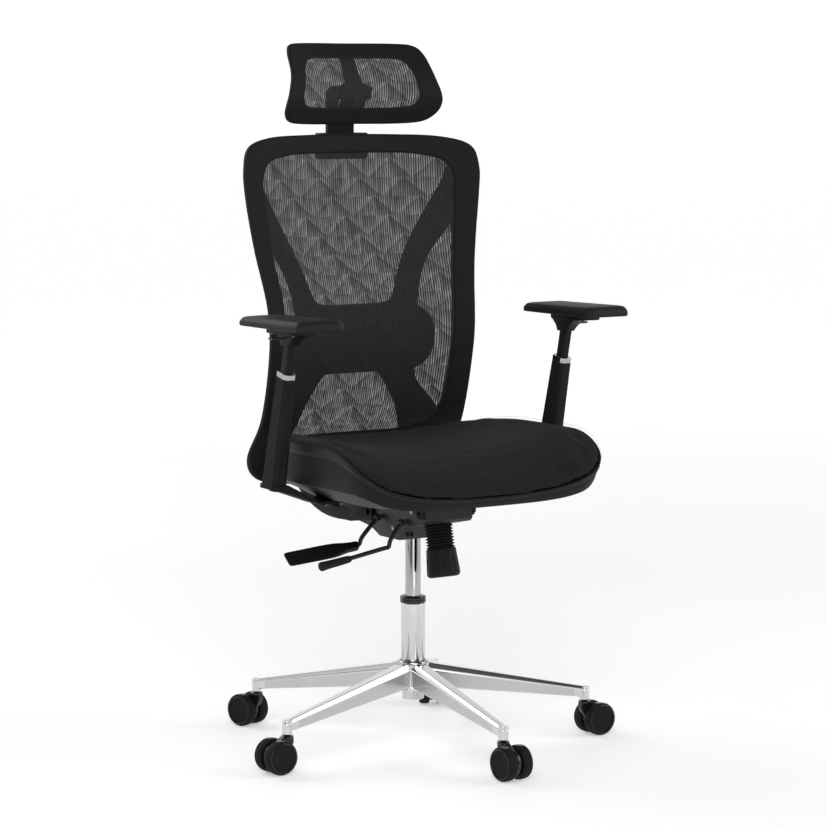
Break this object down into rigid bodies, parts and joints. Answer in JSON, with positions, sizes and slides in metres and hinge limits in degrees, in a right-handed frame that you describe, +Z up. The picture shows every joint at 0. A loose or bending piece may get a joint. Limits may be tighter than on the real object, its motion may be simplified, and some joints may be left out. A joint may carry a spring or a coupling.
{
  "type": "swivel office chair",
  "caption": "High-back swivel office chair with mesh back and headrest, cloth seat, height-adjustable armrests, gas lift and a polished star base on twin-wheel casters.",
  "frame": {"origin": "middle of the chair's box at floor level, the column standing 22.5 mm behind and 7.3 mm to the sitter's left of it", "axes": "+Z up; the chair faces -Y; the sitter's right is -X"},
  "size_m": [0.7139, 0.7013, 1.2603],
  "materials": {
    "polished_metal": "mirror polished",
    "chrome": "mirror",
    "steel": "satin",
    "black_plastic": "fine grain",
    "wheel_plastic": "satin",
    "black_paint": "satin powder coat",
    "soft_pad": "soft matte",
    "rubber": "matte",
    "seat_cloth": "woven",
    "mesh_cloth": "open woven mesh"
  },
  "bodies": {
    "base": {"star_base": "polished_metal", "column_sleeve": "chrome", "guide_bush": "black_plastic", "piston_rod": "steel", "thrust_bearing": "steel", "retaining_clip": "steel"},
    "caster_1": {"caster_hood_1": "black_plastic", "caster_axle_1": "steel"},
    "wheel_1_left": {"caster_wheel_1_left": "wheel_plastic"},
    "wheel_1_right": {"caster_wheel_1_right": "wheel_plastic"},
    "caster_2": {"caster_hood_2": "black_plastic", "caster_axle_2": "steel"},
    "wheel_2_left": {"caster_wheel_2_left": "wheel_plastic"},
    "wheel_2_right": {"caster_wheel_2_right": "wheel_plastic"},
    "caster_3": {"caster_hood_3": "black_plastic", "caster_axle_3": "steel"},
    "wheel_3_left": {"caster_wheel_3_left": "wheel_plastic"},
    "wheel_3_right": {"caster_wheel_3_right": "wheel_plastic"},
    "caster_4": {"caster_hood_4": "black_plastic", "caster_axle_4": "steel"},
    "wheel_4_left": {"caster_wheel_4_left": "wheel_plastic"},
    "wheel_4_right": {"caster_wheel_4_right": "wheel_plastic"},
    "caster_5": {"caster_hood_5": "black_plastic", "caster_axle_5": "steel"},
    "wheel_5_left": {"caster_wheel_5_left": "wheel_plastic"},
    "wheel_5_right": {"caster_wheel_5_right": "wheel_plastic"},
    "lift": {"gas_tube": "chrome"},
    "mechanism": {"tilt_housing": "black_paint", "tension_boot": "rubber", "tension_spring": "steel", "seat_pivot_pin": "steel", "back_pivot_pin": "steel"},
    "knob": {"tension_knob": "black_plastic"},
    "lift_paddle_lever": {"lift_lever": "black_paint", "lift_paddle": "black_plastic"},
    "lock_grip_lever": {"lock_lever": "black_paint", "lock_grip": "black_plastic"},
    "seat": {"seat_pan": "black_plastic", "seat_cushion": "seat_cloth", "arm_sleeve_left": "black_plastic", "arm_ring_left": "chrome", "arm_sleeve_right": "black_plastic", "arm_ring_right": "chrome"},
    "arm_left": {"arm_post_left": "black_plastic", "pad_mount_left": "black_plastic", "arm_pad_left": "soft_pad"},
    "trigger_left": {"height_trigger_left": "black_plastic"},
    "arm_right": {"arm_post_right": "black_plastic", "pad_mount_right": "black_plastic", "arm_pad_right": "soft_pad"},
    "trigger_right": {"height_trigger_right": "black_plastic"},
    "back": {"back_bar": "black_plastic", "back_frame": "black_plastic", "back_support": "black_plastic", "back_mesh": "mesh_cloth"},
    "lumbar": {"lumbar_pad": "black_plastic"},
    "headrest_post": {"headrest_neck": "black_plastic"},
    "headrest": {"headrest_bracket": "black_plastic", "headrest_frame": "black_plastic", "headrest_mesh": "mesh_cloth"}
  },
  "joints": [
    {"name": "caster_1_swivel", "type": "hinge", "parent": "base", "child": "caster_1", "pos_m": [-0.30319, -0.05492, 0.06], "axis": [0, 0, 1], "continuous": true},
    {"name": "wheel_1_left_roll", "type": "hinge", "parent": "caster_1", "child": "wheel_1_left", "pos_m": [-0.32618, -0.05572, 0.03], "axis": [0.0349, -0.9994, 0], "continuous": true},
    {"name": "wheel_1_right_roll", "type": "hinge", "parent": "caster_1", "child": "wheel_1_right", "pos_m": [-0.32618, -0.05572, 0.03], "axis": [0.0349, -0.9994, 0], "continuous": true},
    {"name": "caster_2_swivel", "type": "hinge", "parent": "base", "child": "caster_2", "pos_m": [-0.01502, -0.29672, 0.06], "axis": [0, 0, 1], "continuous": true},
    {"name": "wheel_2_left_roll", "type": "hinge", "parent": "caster_2", "child": "wheel_2_left", "pos_m": [-0.01382, -0.31969, 0.03], "axis": [0.9986, 0.0523, 0], "continuous": true},
    {"name": "wheel_2_right_roll", "type": "hinge", "parent": "caster_2", "child": "wheel_2_right", "pos_m": [-0.01382, -0.31969, 0.03], "axis": [0.9986, 0.0523, 0], "continuous": true},
    {"name": "caster_3_swivel", "type": "hinge", "parent": "base", "child": "caster_3", "pos_m": [0.304, -0.09737, 0.06], "axis": [0, 0, 1], "continuous": true},
    {"name": "wheel_3_left_roll", "type": "hinge", "parent": "caster_3", "child": "wheel_3_left", "pos_m": [0.327, -0.09737, 0.03], "axis": [0, 1, 0], "continuous": true},
    {"name": "wheel_3_right_roll", "type": "hinge", "parent": "caster_3", "child": "wheel_3_right", "pos_m": [0.327, -0.09737, 0.03], "axis": [0, 1, 0], "continuous": true},
    {"name": "caster_4_swivel", "type": "hinge", "parent": "base", "child": "caster_4", "pos_m": [0.21299, 0.26763, 0.06], "axis": [0, 0, 1], "continuous": true},
    {"name": "wheel_4_left_roll", "type": "hinge", "parent": "caster_4", "child": "wheel_4_left", "pos_m": [0.22449, 0.28755, 0.03], "axis": [-0.866, 0.5, 0], "continuous": true},
    {"name": "wheel_4_right_roll", "type": "hinge", "parent": "caster_4", "child": "wheel_4_right", "pos_m": [0.22449, 0.28755, 0.03], "axis": [-0.866, 0.5, 0], "continuous": true},
    {"name": "caster_5_swivel", "type": "hinge", "parent": "base", "child": "caster_5", "pos_m": [-0.16227, 0.29388, 0.06], "axis": [0, 0, 1], "continuous": true},
    {"name": "wheel_5_left_roll", "type": "hinge", "parent": "caster_5", "child": "wheel_5_left", "pos_m": [-0.169, 0.31587, 0.03], "axis": [-0.9563, -0.2924, 0], "continuous": true},
    {"name": "wheel_5_right_roll", "type": "hinge", "parent": "caster_5", "child": "wheel_5_right", "pos_m": [-0.169, 0.31587, 0.03], "axis": [-0.9563, -0.2924, 0], "continuous": true},
    {"name": "seat_height", "type": "slide", "parent": "base", "child": "lift", "axis": [0, 0, 1], "range_m": [-0.1, 0]},
    {"name": "seat_swivel", "type": "hinge", "parent": "lift", "child": "mechanism", "pos_m": [0.0073, 0.0225, 0.4], "axis": [0, 0, 1], "continuous": true},
    {"name": "tension_knob_turn", "type": "hinge", "parent": "mechanism", "child": "knob", "pos_m": [0.0073, -0.0595, 0.409], "axis": [0, 0.2079, 0.9781], "continuous": true},
    {"name": "lift_lever_rock", "type": "hinge", "parent": "mechanism", "child": "lift_paddle_lever", "pos_m": [-0.0507, 0.0495, 0.413], "axis": [0, 1, 0], "range_deg": [0, 8], "stiffness_Nm_per_rad": 1, "springref_deg": -5.73},
    {"name": "lock_lever_rock", "type": "hinge", "parent": "mechanism", "child": "lock_grip_lever", "pos_m": [-0.0507, -0.0295, 0.413], "axis": [0, 1, 0], "range_deg": [0, 12]},
    {"name": "recline", "type": "hinge", "parent": "mechanism", "child": "back", "pos_m": [0.0073, 0.0845, 0.418], "axis": [-1, 0, 0], "range_deg": [0, 20], "stiffness_Nm_per_rad": 70, "springref_deg": -25.78},
    {"name": "seat_tilt", "type": "hinge", "parent": "mechanism", "child": "seat", "pos_m": [0.0073, -0.0835, 0.435], "axis": [-1, 0, 0], "range_deg": [0, 5]},
    {"name": "arm_left_height", "type": "slide", "parent": "seat", "child": "arm_left", "axis": [0, -0.225, 0.9744], "range_m": [-0.048, 0]},
    {"name": "height_trigger_left_press", "type": "hinge", "parent": "arm_left", "child": "trigger_left", "pos_m": [0.3143, -0.04325, 0.7537], "axis": [0, -1, 0], "range_deg": [0, 9], "stiffness_Nm_per_rad": 0.06, "springref_deg": -8.59},
    {"name": "arm_right_height", "type": "slide", "parent": "seat", "child": "arm_right", "axis": [0, -0.225, 0.9744], "range_m": [-0.048, 0]},
    {"name": "height_trigger_right_press", "type": "hinge", "parent": "arm_right", "child": "trigger_right", "pos_m": [-0.2997, -0.04325, 0.7537], "axis": [0, 1, 0], "range_deg": [0, 9], "stiffness_Nm_per_rad": 0.06, "springref_deg": -8.59},
    {"name": "lumbar_height", "type": "slide", "parent": "back", "child": "lumbar", "axis": [0, 0, 1], "range_m": [-0.02, 0.03]},
    {"name": "headrest_height", "type": "slide", "parent": "back", "child": "headrest_post", "axis": [0, 0, 1], "range_m": [0, 0.025]},
    {"name": "headrest_tilt", "type": "hinge", "parent": "headrest_post", "child": "headrest", "pos_m": [0.0073, 0.2525, 1.172], "axis": [-1, 0, 0], "range_deg": [-15, 20]}
  ],
  "couplings": [
    {"joint": "seat_tilt", "follows": "recline", "ratio": 0.25}
  ]
}
